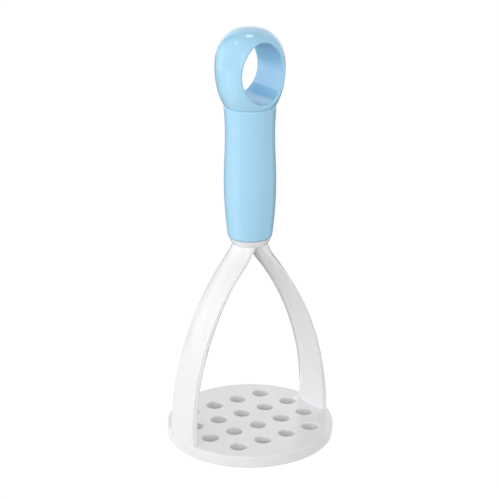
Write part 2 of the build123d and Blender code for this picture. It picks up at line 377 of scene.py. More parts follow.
def bezier(p0, p1, p2, p3, share):
    """Point and slope of a cubic Bezier curve at each share of its parameter."""
    t = np.asarray(share)[:, None]
    p0, p1, p2, p3 = (np.array(p, float) for p in (p0, p1, p2, p3))
    point = (1 - t) ** 3 * p0 + 3 * (1 - t) ** 2 * t * p1 + 3 * (1 - t) * t**2 * p2 + t**3 * p3
    slope = 3 * (1 - t) ** 2 * (p1 - p0) + 6 * (1 - t) * t * (p2 - p1) + 3 * t**2 * (p3 - p2)
    return point, slope


def hermite(t, start, leave, end, arrive):
    """Cubic Hermite curve from start to end as t goes from 0 to 1, with these slopes at its ends."""
    return (
        start * (1 + 2 * t) * (1 - t) ** 2
        + leave * t * (1 - t) ** 2
        + end * t * t * (3 - 2 * t)
        + arrive * t * t * (t - 1)
    )


def through(knots, values, slopes, at):
    """Smooth curve through the knots with these slopes: one cubic Hermite stretch from knot to knot."""
    index = np.clip(np.searchsorted(knots, at, side="right") - 1, 0, len(knots) - 2)
    span = knots[index + 1] - knots[index]
    t = (at - knots[index]) / span
    return hermite(t, values[index], slopes[index] * span, values[index + 1], slopes[index + 1] * span)


def grid_triangles(points, normals):
    """Two triangles for each cell of a grid, as corner positions and corner normals."""
    rows, columns = points.shape[:2]
    index = np.arange(rows * columns).reshape(rows, columns)
    a, b, c, d = index[:-1, :-1], index[:-1, 1:], index[1:, 1:], index[1:, :-1]
    corners = np.concatenate([np.stack(three, -1).reshape(-1, 3) for three in ((a, b, c), (a, c, d))])
    return points.reshape(-1, 3)[corners], normals.reshape(-1, 3)[corners]


def face_normals(corners):
    """Normal of each triangle, twice as long as its area is large."""
    a, b, c = corners[:, 0], corners[:, 1], corners[:, 2]
    return np.cross(b - a, c - a)


def faced_outwards(corners, normals):
    """The patch, with the corners of all its triangles turned round if most of its area faces inwards."""
    facing = np.einsum("ij,ij->", face_normals(corners), normals.sum(1))
    return (corners, normals) if facing > 0 else (corners[:, ::-1], normals[:, ::-1])


def welded_mesh(name, patches, material):
    """Mesh of several patches of triangles. Points that coincide become one, cells without area are dropped,
    each patch is turned as a whole to agree with its normals, and these are kept for smooth shading."""
    corners, normals = joined(*(faced_outwards(*patch) for patch in patches))
    keys = np.round(corners.reshape(-1, 3) / WELD_STEP).astype(np.int64)
    _, first, index = np.unique(keys, axis=0, return_index=True, return_inverse=True)
    points = corners.reshape(-1, 3)[first]
    faces = index.reshape(-1, 3)
    whole = (faces != np.roll(faces, -1, 1)).all(1)
    faces, normals = faces[whole], unit(normals[whole])

    mesh = bpy.data.meshes.new(name)
    mesh.vertices.add(len(points))
    mesh.vertices.foreach_set("co", points.astype(np.float32).ravel())
    mesh.loops.add(faces.size)
    mesh.loops.foreach_set("vertex_index", faces.astype(np.int32).ravel())
    mesh.polygons.add(len(faces))
    mesh.polygons.foreach_set("loop_start", np.arange(0, faces.size, 3, dtype=np.int32))
    mesh.update(calc_edges=True)
    mesh.validate()
    mesh.shade_smooth()
    mesh.normals_split_custom_set(normals.reshape(-1, 3).tolist())
    mesh.materials.append(material)
    piece = bpy.data.objects.new(name, mesh)
    bpy.context.scene.collection.objects.link(piece)
    return piece


def seated(piece, slot, *nodes):
    """The piece moves with the part and stands for these solids, which are hidden. The slot is not used."""
    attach(piece, BODY)
    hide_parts(*nodes)


def encloses(loop, points):
    """Which points lie inside a closed loop: a ray along X from them crosses it an odd number of times."""
    (x, y), (next_x, next_y) = loop.T, np.roll(loop, -1, 0).T
    along, up = points[:, :1], points[:, 1:]
    crosses = (y > up) != (next_y > up)
    reach = x + (up - y) * (next_x - x) / np.where(crosses, next_y - y, 1)
    return (crosses & (along < reach)).sum(1) % 2 == 1


def flat_fill(loops, height, normal):
    """Flat face between an outer loop and the loops inside it: a triangulation of all the loops' points,
    without the triangles that lie inside a hole. Each loop is an array of (x, y)."""
    starts = np.cumsum([0] + [len(loop) for loop in loops[:-1]])
    steps = [np.arange(len(loop)) for loop in loops]
    edges = np.concatenate(
        [start + np.stack([step, np.roll(step, -1)], 1) for start, step in zip(starts, steps)]
    )
    points = [Vector(point) for point in np.concatenate(loops).tolist()]
    inside_outer_loop = 1
    made = delaunay_2d_cdt(points, edges.tolist(), [], inside_outer_loop, FILL_SLACK)
    flat = np.array([tuple(point) for point in made[0]])
    faces = np.array([face for face in made[2] if len(face) == 3])
    middle = flat[faces].mean(1)
    solid = np.ones(len(faces), bool)
    for loop in loops[1:]:
        solid &= ~encloses(loop, middle)
    corners = at_height(flat[faces[solid]], height)
    return corners, np.broadcast_to(normal, corners.shape)


def flat_ring(outer, inner, height, normal):
    """Flat face between two closed outlines with as many points each. Where the outlines change places, the
    face is an overhang and looks the other way."""
    points = np.stack([outer, inner])
    points = at_height(np.concatenate([points, points[:, :1]], 1), height)
    corners, normals = grid_triangles(points, np.broadcast_to(normal, points.shape))
    overhang = face_normals(corners)[:, 2] < 0
    return corners, np.where(overhang[:, None, None], -normals, normals)


def upright_wall(outline, low, high, outwards):
    """Wall that stands on a closed outline, with normals square to it."""
    closed = np.concatenate([outline, outline[:1]])
    step = np.gradient(closed, axis=0)
    step[0] = step[-1] = closed[1] - closed[-2]
    normal = unit(at_height(np.stack([step[:, 1], -step[:, 0]], -1), 0)) * (1 if outwards else -1)
    points = np.stack([at_height(closed, height) for height in (low, high)])
    return grid_triangles(points, np.broadcast_to(normal, points.shape))


def end_cap(loop, normal):
    """Fan that closes the end of a tube, from its middle to a closed loop of points."""
    points = np.stack([np.broadcast_to(loop[:-1].mean(0), loop.shape), loop])
    return grid_triangles(points, np.broadcast_to(normal, points.shape))


def stadium(centre_x, long_side, width):
    """Closed outline of a slot that lies along Y: two half circles and the straight sides between them."""
    radius = width / 2
    cap = radius * around(np.linspace(0, math.pi, SLOT_END_POINTS)) + [0, long_side / 2 - radius]
    return np.concatenate([cap, -cap]) + [centre_x, 0]


def plate_hole_centres(plate):
    """Rows of holes each side of the middle, every other row shifted by half a pitch, inside the rim."""
    reach = plate.diameter / 2 - plate.rim_width - plate.hole_diameter / 2
    rows = np.arange(int(reach / plate.row_pitch + 0.5))
    columns = np.arange(-int(reach / plate.hole_pitch) - 1, int(reach / plate.hole_pitch) + 1)
    row, column = np.meshgrid(rows, columns, indexing="ij")
    x = (column + row % 2 / 2) * plate.hole_pitch
    y = (row + 0.5) * plate.row_pitch
    inside = np.hypot(x, y) <= reach
    half = np.stack([x[inside], y[inside]], 1)
    return np.concatenate([half, half * [1, -1]])


def tenon_x(yoke):
    """Middle of a tenon, half way through the foot above it."""
    return yoke.foot_x + (yoke.foot_outer - yoke.foot_inner) / 2


class MASHER_OT_mashing_plate(Operator):
    """Makes the round plate with its rounded rim and rows of holes"""

    bl_idname = "masher.mashing_plate"
    bl_label = "Mashing plate"

    def execute(self, context):
        plate, yoke = context.scene.masher_plate, context.scene.masher_yoke
        top, radius, edge = plate.thickness, plate.diameter / 2, plate.edge_radius
        rim = joined(
            arc((radius - edge, edge), edge, -RIGHT_ANGLE, 0),
            line((radius, edge), (radius, top - edge)),
            arc((radius - edge, top - edge), edge, 0, RIGHT_ANGLE),
        )
        hole, mouth = plate.hole_diameter / 2, plate.hole_edge_radius
        wall = joined(
            arc((hole + mouth, top - mouth), mouth, RIGHT_ANGLE, math.pi, HOLE_EDGE_POINTS),
            line((hole, top - mouth), (hole, mouth)),
            arc((hole + mouth, mouth), mouth, math.pi, math.pi + RIGHT_ANGLE, HOLE_EDGE_POINTS),
        )
        points, normals = lathe(wall, HOLE_SEGMENTS)
        centres = plate_hole_centres(plate)
        slack = 2 * plate.slot_clearance
        slots = [
            stadium(side * tenon_x(yoke), yoke.tenon_length + slack, yoke.tenon_width + slack)
            for side in (-1, 1)
        ]
        mouths = [polar(hole + mouth, turns(HOLE_SEGMENTS)) + centre for centre in centres]
        loops = [polar(radius - edge, turns(RIM_SEGMENTS)), *mouths, *slots]
        patches = [
            grid_triangles(*lathe(rim, RIM_SEGMENTS)),
            *(grid_triangles(points + np.append(centre, 0), normals) for centre in centres),
            flat_fill(loops, top, UP),
            flat_fill(loops, 0, -UP),
            *(upright_wall(slot, 0, top, outwards=False) for slot in slots),
        ]
        piece = welded_mesh("masher_plate", patches, white_plastic(context.scene.masher_finish))
        seated(piece, "white_plastic", "mashing_plate")
        return {"FINISHED"}


def along_arm(yoke, size, share):
    """A size of an arm at each share of its length: a quadratic through its values at the foot, half way up
    and at the top."""
    at_foot, at_middle, at_top = (getattr(yoke, f"{place}_{size}") for place in ("foot", "middle", "top"))
    foot, middle, top = (1 - share) * (1 - 2 * share), 4 * share * (1 - share), share * (2 * share - 1)
    return at_foot * foot + at_middle * middle + at_top * top


def arm_section(half_width, inner, outer, edge, squareness):
    """Lens with rounded edges, as (across, outwards) pairs for each station: two circular arcs with the
    chord 2 * half_width and the heights outer and inner, all moved outwards by edge, and ends that are half
    circles of radius edge where squareness is 2 and flat bands with rounded corners where it is more."""
    half_width, edge, squareness = half_width[:, None], edge[:, None], squareness[:, None]
    share = np.linspace(-1, 1, FACE_POINTS)

    def bulge(height):
        half_angle = 2 * np.arctan(height[:, None] / half_width)
        radius = half_width / np.sin(half_angle)
        angle = half_angle * share
        lift = (radius + edge) * np.cos(angle) - radius * np.cos(half_angle)
        return np.stack([(radius + edge) * np.sin(angle), lift], -1), half_angle

    face_out, lean_out = bulge(outer)
    face_in, lean_in = bulge(inner)
    turn = np.linspace(0, 1, EDGE_POINTS)[1:-1]
    start, stop = RIGHT_ANGLE - lean_out, lean_in - RIGHT_ANGLE
    angle = start + (stop - start) * turn
    even = np.abs(around(RIGHT_ANGLE - math.pi * turn))
    reach = edge * (even ** squareness[..., None]).sum(-1) ** (-1 / squareness)
    tip = np.stack([half_width + reach * np.cos(angle), reach * np.sin(angle)], -1)
    back = (tip * [-1, 1])[:, ::-1]
    return np.concatenate([face_out, tip, face_in[:, ::-1] * [1, -1], back], 1)


def arm_spine(yoke, plate_top):
    """Evenly spaced points of a cubic Bezier curve in (x, z) from the foot of an arm to its top: the shares
    of its length, the points and their directions."""
    control = (
        (yoke.foot_x, plate_top),
        (yoke.foot_x, plate_top + yoke.foot_rise),
        (yoke.foot_x - yoke.shoulder_inset, yoke.seat_height - yoke.shoulder_depth),
        (yoke.top_offset, yoke.seat_height - yoke.top_depth),
    )
    fine = np.linspace(0, 1, SPINE_SAMPLES)
    path = bezier(*control, fine)[0]
    run = np.concatenate([[0], np.cumsum(np.hypot(*np.diff(path, axis=0).T))])
    share = np.linspace(0, 1, ARM_STATIONS)
    spine, slope = bezier(*control, np.interp(share, run / run[-1], fine))
    return share, spine, unit(slope)


def flare_end(yoke):
    """Outline of an arm's section under the collar: the outer face on an ellipse, the inner face on a
    parabola that leaves a slot between the arms in front and closes it inside, and swollen edges."""
    turn = np.linspace(-yoke.flare_corner, yoke.flare_corner, FACE_POINTS)
    face = around(turn) * [yoke.flare_radius, yoke.flare_reach]
    across = np.linspace(1, -1, FACE_POINTS)
    inner_x = yoke.slot_half_width * across**2 - yoke.slot_overlap * (1 - across**2)
    inner = np.stack([inner_x, yoke.slot_reach * across], -1)
    share = np.linspace(0, 1, EDGE_POINTS)[1:-1, None]
    swell = np.array([0, 4 * yoke.edge_swell]) * share * (1 - share)
    edge = (1 - share) * face[-1] + share * inner[0] + swell
    outline = np.concatenate([face, edge, inner, edge[::-1] * [1, -1]])
    return at_height(outline, yoke.seat_height - yoke.flare_depth)


def arm_surface(yoke, plate_top):
    """One arm: a lens carried up a cubic spine in the XZ plane. Past flare_start each point of the section
    runs on along a cubic that leaves in the arm's own direction and turns up into the collar."""
    share, spine, tangent = arm_spine(yoke, plate_top)
    edge = along_arm(yoke, "edge", share)
    half_width, inner, outer = (
        along_arm(yoke, size, share) - edge for size in ("half_width", "inner", "outer")
    )
    squareness = 2 + (yoke.edge_squareness - 2) * np.clip(share / SQUARE_BY, 0, 1)
    section = arm_section(half_width, inner, outer, edge, squareness)
    outward = np.stack([tangent[:, 1], -tangent[:, 0]], 1)
    lens = at_depth(spine[:, None] + outward[:, None] * section[..., 1:], section[..., 0])

    first = int(round(yoke.flare_start * (len(share) - 1)))
    begin, end = lens[first], flare_end(yoke)
    reach = np.linalg.norm(end - begin, axis=-1, keepdims=True)
    leave = unit(lens[first + 1] - lens[first - 1]) * reach
    upright = np.full((len(end), 1), yoke.edge_upright)
    upright[:FACE_POINTS] = yoke.flare_upright
    ahead = np.array([tangent[-1, 0], 0, tangent[-1, 1]])
    arrive = unit(upright * UP + (1 - upright) * ahead) * reach * (1 - yoke.flare_tightness)
    t = np.linspace(0, 1, FLARE_STATIONS)[1:, None, None]
    points = np.concatenate([lens[: first + 1], hermite(t, begin, leave, end, arrive)])
    return np.concatenate([points, points[:, :1]], 1)


def surface_normals(points):
    """Normals of a grid that closes on itself along its second axis, from the steps between its points."""
    along = np.gradient(points, axis=0)
    closed = np.concatenate([points[:, -2:-1], points, points[:, 1:2]], 1)
    return unit(np.cross(closed[:, 2:] - closed[:, :-2], along))


def collar_profile(yoke):
    """Profile of the collar: a cone with a swollen side, rounded at its foot and its top edge, and a step in
    under the grip that leaves a shadow gap."""
    seat, foot = yoke.seat_height, yoke.seat_height - yoke.collar_height
    radius, neck, edge, lip = yoke.collar_radius, yoke.neck_radius, yoke.collar_edge, yoke.collar_lip
    share = np.linspace(0, 1, COLLAR_SIDE_POINTS)[:, None]
    lean = unit(np.array([yoke.collar_height, neck - radius]))
    side = np.array([neck, foot]) + share * [radius - neck, yoke.collar_height]
    side = side + lean * (4 * yoke.collar_bulge * share * (1 - share))
    start = side[1] - side[0]
    tilt = math.atan2(start[1], start[0])
    centre = (neck - edge * math.tan(tilt / 2), foot + edge)
    rounded = arc(centre, edge, -RIGHT_ANGLE, tilt - RIGHT_ANGLE)
    ledge, groove = seat - yoke.groove_height, radius - yoke.groove_depth
    plain = (side[:, 1] > foot + edge) & (side[:, 1] < ledge - lip)
    return joined(
        line((0, foot), (centre[0], foot)),
        rounded,
        curve(np.concatenate([rounded[0][-1:], side[plain]])),
        arc((radius - lip, ledge - lip), lip, 0, RIGHT_ANGLE),
        line((radius - lip, ledge), (groove, ledge)),
        line((groove, ledge), (groove, seat)),
        line((groove, seat), (0, seat)),
    )


def tang_patches(yoke):
    """Tang inside the grip: a cross of ribs round a core, a square key on top and the screw's pilot hole."""
    angle = turns(TANG_SEGMENTS)
    seat = yoke.seat_height
    tang_top = seat + yoke.tang_length
    key_top = tang_top + yoke.key_height
    near = np.maximum(np.abs(around(angle)).min(-1), TINY)
    ribs = polar(np.clip(yoke.tang_rib / 2 / near, yoke.tang_core, yoke.tang_radius), angle)
    key = polar(square_radius(yoke.key_width, angle), angle)
    pilot = polar(yoke.pilot_radius, angle)
    return [
        upright_wall(ribs, seat, tang_top, outwards=True),
        upright_wall(key, tang_top, key_top, outwards=True),
        upright_wall(pilot, seat, key_top, outwards=False),
        flat_ring(ribs, pilot, seat, -UP),
        flat_ring(ribs, key, tang_top, UP),
        flat_ring(key, pilot, key_top, UP),
    ]


class MASHER_OT_yoke(Operator):
    """Makes the two arms, their tenons, the collar and the tang inside the grip"""

    bl_idname = "masher.yoke"
    bl_label = "Yoke"

    def execute(self, context):
        yoke, plate = context.scene.masher_yoke, context.scene.masher_plate
        arm = arm_surface(yoke, plate.thickness)
        normals = surface_normals(arm)
        tenon_top = plate.thickness + yoke.foot_edge
        patches = []
        for side in (1, -1):
            flip = np.array([side, 1, 1])
            tenon = stadium(side * tenon_x(yoke), yoke.tenon_length, yoke.tenon_width)
            patches += [
                grid_triangles(arm * flip, normals * flip),
                end_cap(arm[0] * flip, -UP),
                end_cap(arm[-1] * flip, UP),
                upright_wall(tenon, 0, tenon_top, outwards=True),
                flat_fill([tenon], 0, -UP),
                flat_fill([tenon], tenon_top, UP),
            ]
        patches.append(grid_triangles(*lathe(collar_profile(yoke), COLLAR_SEGMENTS)))
        patches += tang_patches(yoke)
        piece = welded_mesh("masher_yoke", patches, white_plastic(context.scene.masher_finish))
        seated(piece, "white_plastic", "yoke")
        return {"FINISHED"}


def grip_profile(grip, low, high, web_low, web_top):
    """Profile of the grip from its bottom, up its outside and down its upper bore to the web: the outside is
    a smooth curve through the bottom, the belly, the waist and the lip, with rounded ends."""
    knots = np.array([low, low + grip.belly_height, low + grip.waist_height, high])
    radii = np.array([grip.bottom_radius, grip.belly_radius, grip.waist_radius, grip.lip_radius])
    slopes = np.array([grip.bottom_slope, 0, 0, grip.lip_slope])
    foot, foot_tilt = grip.bottom_edge, math.atan(grip.bottom_slope)
    lip, lip_tilt = grip.lip_edge, math.atan(grip.lip_slope)
    foot_x = grip.bottom_radius + foot * (grip.bottom_slope - math.hypot(1, grip.bottom_slope))
    lip_x = grip.lip_radius - lip * (grip.lip_slope + math.hypot(1, grip.lip_slope))
    foot_round = arc((foot_x, low + foot), foot, -RIGHT_ANGLE, -foot_tilt)
    lip_round = arc((lip_x, high - lip), lip, -lip_tilt, RIGHT_ANGLE, LIP_POINTS)
    side_low = low + foot * (1 - math.sin(foot_tilt))
    rise = np.linspace(side_low, high - lip * (1 + math.sin(lip_tilt)), GRIP_SIDE_POINTS)
    side = np.stack([through(knots, radii, slopes, rise), rise], 1)
    side[0], side[-1] = foot_round[0][-1], lip_round[0][0]
    return joined(
        line((grip.tang_bore, low), (foot_x, low)),
        foot_round,
        curve(side),
        lip_round,
        line((lip_x, high), (grip.upper_bore, high)),
        line((grip.upper_bore, high), (grip.upper_bore, web_top)),
        line((grip.upper_bore, web_top), (grip.screw_hole, web_top)),
        line((grip.screw_hole, web_top), (grip.screw_hole, web_low)),
    )


class MASHER_OT_grip_sleeve(Operator):
    """Makes the hollow blue grip by turning its profile about the axis"""

    bl_idname = "masher.grip_sleeve"
    bl_label = "Grip sleeve"

    def execute(self, context):
        grip = context.scene.masher_grip
        low, high = grip.bottom_z, grip.bottom_z + grip.length
        bore_end = low + grip.tang_depth
        web_low = bore_end + grip.socket_height
        profile = grip_profile(grip, low, high, web_low, web_low + grip.web)
        angle = turns(GRIP_SEGMENTS)
        bore, screw = polar(grip.tang_bore, angle), polar(grip.screw_hole, angle)
        socket = polar(square_radius(grip.socket_width, angle), angle)
        patches = [
            grid_triangles(*lathe(profile, GRIP_SEGMENTS)),
            upright_wall(socket, bore_end, web_low, outwards=False),
            upright_wall(bore, low, bore_end, outwards=False),
            flat_ring(socket, screw, web_low, -UP),
            flat_ring(bore, socket, bore_end, -UP),
        ]
        piece = welded_mesh("masher_grip", patches, blue_plastic(context.scene.masher_finish))
        seated(piece, "blue_plastic", "grip_sleeve")
        return {"FINISHED"}


def egg_outline(ring):
    """Outline of the ring head as three arrays over its height, z, the radius r and r dr/dz: a rounded edge
    above the crease, a cubic flank up to the widest place and a cubic crown."""
    seat, crown = ring.seat_z, ring.seat_z + ring.height
    widest = seat + ring.widest_height
    edge, slope = ring.seat_edge, ring.seat_slope
    centre = (ring.seat_radius + edge * (slope - math.hypot(1, slope)), seat + edge)
    foot, normals = arc(centre, edge, FOOT_TILT - RIGHT_ANGLE, -math.atan(slope), EGG_FOOT_POINTS)
    foot_slope = np.stack([-normals[:, 1], normals[:, 0]], 1)
    pull = ring.flank_fullness * ring.widest_height
    flank, flank_slope = bezier(
        (ring.seat_radius, seat),
        (ring.seat_radius + slope * pull, seat + pull),
        (ring.radius, widest - pull),
        (ring.radius, widest),
        np.linspace(0, 1, EGG_POINTS),
    )
    above = flank[:, 1] > foot[-1, 1]
    top, top_slope = bezier(
        (ring.radius, widest),
        (ring.radius, widest + ring.crown_fullness * (crown - widest)),
        (ring.crown_fullness * ring.radius, crown),
        (0, crown),
        np.sin(np.linspace(0, RIGHT_ANGLE, EGG_POINTS))[1:-1],
    )
    radii, heights = np.concatenate([foot, flank[above], top]).T
    radial, rising = np.concatenate([foot_slope, flank_slope[above], top_slope]).T
    return heights, radii, radii * radial / np.maximum(rising, TINY)


def ring_surface(ring):
    """Half of the ring head, as a closed band round its eye. For each angle p round the eye the section runs
    along the wall of the eye, where x = a cos p and z = b sin p, over a rolling-ball corner, out along the
    egg, where x^2 + y^2 = r(z)^2, to its outline or its flat seat, and back to the middle plane."""
    heights, radii, leans = egg_outline(ring)
    half_width = ring.radius - ring.eye_side
    half_height = (ring.height - ring.eye_floor - ring.eye_roof) / 2
    middle = ring.seat_z + ring.eye_floor + half_height
    circle = around(np.linspace(0, FULL_TURN, EYE_STATIONS))
    oval = circle * [half_width, half_height]
    wall = oval + [0, middle]
    away = unit(circle / [half_width, half_height])
    ball = wall + ring.eye_edge * away

    def on_egg(flat):
        """Depth y and normal of the egg at pairs (x, z)."""
        radius = np.interp(flat[..., 1], heights, radii)
        depth = np.sqrt(np.maximum(radius**2 - flat[..., 0] ** 2, 0))
        lean = np.interp(flat[..., 1], heights, leans)
        return depth, unit(np.stack([flat[..., 0], depth, -lean], -1))

    touch = ball
    for _ in range(BALL_ROUNDS):
        touch = ball + ring.eye_edge * on_egg(touch)[1][:, ::2]
    depth, normal = on_egg(touch)
    ball_depth = depth - ring.eye_edge * normal[:, 1]

    wall_share = np.linspace(0, 1, EYE_WALL_POINTS)
    wall_points = at_depth(wall[:, None], ball_depth[:, None] * wall_share)
    inward = at_depth(-away, np.zeros(len(away)))
    wall_normals = np.broadcast_to(inward[:, None], wall_points.shape)

    corner_share = np.linspace(0, 1, EYE_EDGE_POINTS)[:, None]
    between = np.arccos(np.clip((inward * normal).sum(-1), -1, 1))[:, None, None]
    from_wall, from_egg = np.sin((1 - corner_share) * between), np.sin(corner_share * between)
    corner_normals = (from_wall * inward[:, None] + from_egg * normal[:, None]) / np.sin(between)
    corner_points = at_depth(ball, ball_depth)[:, None] + ring.eye_edge * corner_normals

    heading = unit(oval)
    near, far = np.zeros(len(oval)), np.full(len(oval), 3 * ring.radius)
    for _ in range(HALVINGS):
        guess = (near + far) / 2
        x, z = (touch + guess[:, None] * heading).T
        inside = (np.abs(x) < np.interp(z, heights, radii)) & (z > heights[0]) & (z < heights[-1])
        near, far = np.where(inside, guess, near), np.where(inside, far, guess)
    end = touch + near[:, None] * heading
    on_seat = end[:, 1] < heights[0] + SEAT_SLACK
    end[on_seat, 1] = heights[0]
    egg_share = np.sin(np.linspace(0, RIGHT_ANGLE, EGG_FACE_POINTS))[:, None]
    egg_flat = (1 - egg_share) * touch[:, None] + egg_share * end[:, None]
    egg_depth, egg_normals = on_egg(egg_flat)
    egg_depth[~on_seat, -1] = 0
    egg_points = at_depth(egg_flat, egg_depth)

    seat_points = at_depth(end[:, None], egg_depth[:, -1:] * wall_share[::-1])
    seat_normals = np.broadcast_to(-UP, seat_points.shape)
    points = np.concatenate([wall_points, corner_points, egg_points, seat_points], 1)
    normals = np.concatenate([wall_normals, corner_normals, egg_normals, seat_normals], 1)
    points[-1], normals[-1] = points[0], normals[0]
    return points, normals


class MASHER_OT_ring_head(Operator):
    """Makes the egg-shaped end with its oval eye and the plug below it"""

    bl_idname = "masher.ring_head"
    bl_label = "Ring head"

    def execute(self, context):
        ring = context.scene.masher_ring
        points, normals = ring_surface(ring)
        mirror = np.array([1, -1, 1])
        outer, inner = ring.spigot_radius, ring.spigot_radius - ring.spigot_wall
        low, high = ring.seat_z - ring.spigot_length, ring.seat_z + ring.seat_edge
        spigot = joined(
            line((inner, low), (outer, low)),
            line((outer, low), (outer, high)),
            line((outer, high), (inner, high)),
            line((inner, high), (inner, low)),
        )
        patches = [
            grid_triangles(points, normals),
            grid_triangles(points * mirror, normals * mirror),
            grid_triangles(*lathe(spigot, SPIGOT_SEGMENTS)),
        ]
        piece = welded_mesh("masher_ring", patches, blue_plastic(context.scene.masher_finish))
        seated(piece, "blue_plastic", "ring_head")
        return {"FINISHED"}


class MASHER_OT_tie_hardware(Operator):
    """Gives the hidden screw and its washer a plated steel finish"""

    bl_idname = "masher.tie_hardware"
    bl_label = "Tie screw and washer"

    def execute(self, context):
        steel = plated_steel(context.scene.masher_finish)
        for node in ("tie_screw", "tie_washer"):
            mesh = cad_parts[node].data
            mesh.materials.clear()
            mesh.materials.append(steel)
        return {"FINISHED"}


def new_material(name):
    """A material with an empty node tree, and that tree."""
    material = bpy.data.materials.new(name)
    material.use_nodes = True
    material.node_tree.nodes.clear()
    return material, material.node_tree


def feed(tree, socket, value):
    """Sets a socket to a value, or links it to the socket that gives one."""
    if isinstance(value, bpy.types.NodeSocket):
        tree.links.new(value, socket)
    else:
        socket.default_value = value


def add_node(tree, kind, **inputs):
    """A node of this kind, with its inputs fed by name."""
    node = tree.nodes.new(kind)
    for name, value in inputs.items():
        feed(tree, node.inputs[name.replace("_", " ")], value)
    return node


def worked_out(tree, operation, *values):
    """Result of an operation on two values or sockets."""
    node = add_node(tree, "ShaderNodeMath")
    node.operation = operation
    for socket, value in zip(node.inputs, values):
        feed(tree, socket, value)
    return node.outputs["Value"]


def blend(tree, share, first, second):
    """Mix of two shaders: the first where share is 0 and the second where it is 1."""
    mix = add_node(tree, "ShaderNodeMixShader", Fac=share)
    tree.links.new(first, mix.inputs[1])
    tree.links.new(second, mix.inputs[2])
    return mix.outputs["Shader"]


def noise(tree, place, **values):
    """Level of a noise pattern at each place."""
    return add_node(tree, "ShaderNodeTexNoise", Vector=place, **values).outputs["Fac"]


def tinted(tree, level, first, second, low=0.0, high=1.0):
    """Colour that runs from the first to the second as the level goes from low to high."""
    ramp = add_node(tree, "ShaderNodeValToRGB", Fac=level)
    for stop, position, shade in zip(ramp.color_ramp.elements, (low, high), (first, second)):
        stop.position = position
        stop.color = (*shade, 1)
    return ramp.outputs["Color"]


def moulded_plastic(name, clear, dense, roughness):
    """Injection-moulded plastic, made once: a faint change of density through the colour, a sheen that
    changes slowly over the surface, a fine skin like orange peel and wider, soft sink marks."""
    found = bpy.data.materials.get(name)
    if found:
        return found
    material, tree = new_material(name)
    place = add_node(tree, "ShaderNodeTexCoord").outputs["Object"]
    density = noise(tree, place, Scale=38.0, Detail=3.0, Roughness=0.55)
    sheen = noise(tree, place, Scale=140.0, Detail=4.0, Roughness=0.6)
    gloss = add_node(tree, "ShaderNodeMapRange", Value=sheen, From_Min=0.3, From_Max=0.7)
    gloss.inputs["To Min"].default_value = roughness * (1 - SHEEN_SPREAD)
    gloss.inputs["To Max"].default_value = roughness * (1 + SHEEN_SPREAD)
    sink = noise(tree, place, Scale=95.0, Detail=1.0, Roughness=0.4)
    soft = add_node(tree, "ShaderNodeBump", Height=sink, Strength=0.05, Distance=4 * PEEL_DEPTH)
    peel = noise(tree, place, Scale=1700.0, Detail=2.0, Roughness=0.5)
    skin = add_node(tree, "ShaderNodeBump", Height=peel, Strength=0.05, Distance=PEEL_DEPTH)
    tree.links.new(soft.outputs["Normal"], skin.inputs["Normal"])
    shader = add_node(
        tree,
        "ShaderNodeBsdfPrincipled",
        Base_Color=tinted(tree, density, dense, clear, 0.35, 0.65),
        Roughness=gloss.outputs["Result"],
        IOR=1.5,
        Specular_IOR_Level=0.5,
        Normal=skin.outputs["Normal"],
    )
    add_node(tree, "ShaderNodeOutputMaterial", Surface=shader.outputs["BSDF"])
    return material


def blue_plastic(finish):
    """Glossy sky-blue plastic of the handle."""
    return moulded_plastic("sky_blue_moulded_plastic", finish.blue, finish.blue_deep, finish.blue_gloss)


def white_plastic(finish):
    """White plastic of the yoke and the plate, a little less glossy."""
    return moulded_plastic("white_moulded_plastic", finish.white, finish.white_warm, finish.white_gloss)


def plated_steel(finish):
    """Zinc-plated steel: a turned grain round the axis and a slightly uneven sheen."""
    material, tree = new_material("plated_steel")
    place = add_node(tree, "ShaderNodeTexCoord").outputs["Object"]
    stretch = add_node(tree, "ShaderNodeMapping", Vector=place, Scale=(300.0, 300.0, 4000.0))
    grain = noise(tree, stretch.outputs["Vector"], Scale=1.0, Detail=4.0, Roughness=0.6)
    gloss = add_node(tree, "ShaderNodeMapRange", Value=grain, To_Min=0.25, To_Max=0.42)
    bump = add_node(tree, "ShaderNodeBump", Height=grain, Strength=0.3, Distance=0.01 * MM)
    shader = add_node(
        tree,
        "ShaderNodeBsdfPrincipled",
        Base_Color=tinted(tree, grain, finish.steel_dark, finish.steel),
        Metallic=1.0,
        Roughness=gloss.outputs["Result"],
        Normal=bump.outputs["Normal"],
    )
    add_node(tree, "ShaderNodeOutputMaterial", Surface=shader.outputs["BSDF"])
    return material


def seen_directly(tree):
    """Socket that is 1 for rays from the camera, off shiny surfaces and through clear ones, or else 0."""
    rays = add_node(tree, "ShaderNodeLightPath").outputs
    either = worked_out(tree, "MAXIMUM", rays["Is Camera Ray"], rays["Is Glossy Ray"])
    return worked_out(tree, "MAXIMUM", either, rays["Is Transmission Ray"])


def white_room(ambient, fall):
    """World that is seen as white and lights the part at its ambient strength, less from straight above."""
    world = bpy.data.worlds.new("studio")
    world.use_nodes = True
    tree = world.node_tree
    tree.nodes.clear()
    place = add_node(tree, "ShaderNodeTexCoord").outputs["Generated"]
    height = add_node(tree, "ShaderNodeSeparateXYZ", Vector=place).outputs["Z"]
    level = add_node(tree, "ShaderNodeMapRange", Value=height, To_Min=ambient, To_Max=ambient * (1 - fall))
    dim = add_node(tree, "ShaderNodeBackground", Color=WHITE, Strength=level.outputs["Result"])
    bright = add_node(tree, "ShaderNodeBackground", Color=WHITE, Strength=1.0)
    sky = blend(tree, seen_directly(tree), dim.outputs["Background"], bright.outputs["Background"])
    add_node(tree, "ShaderNodeOutputWorld", Surface=sky)
    bpy.context.scene.world = world


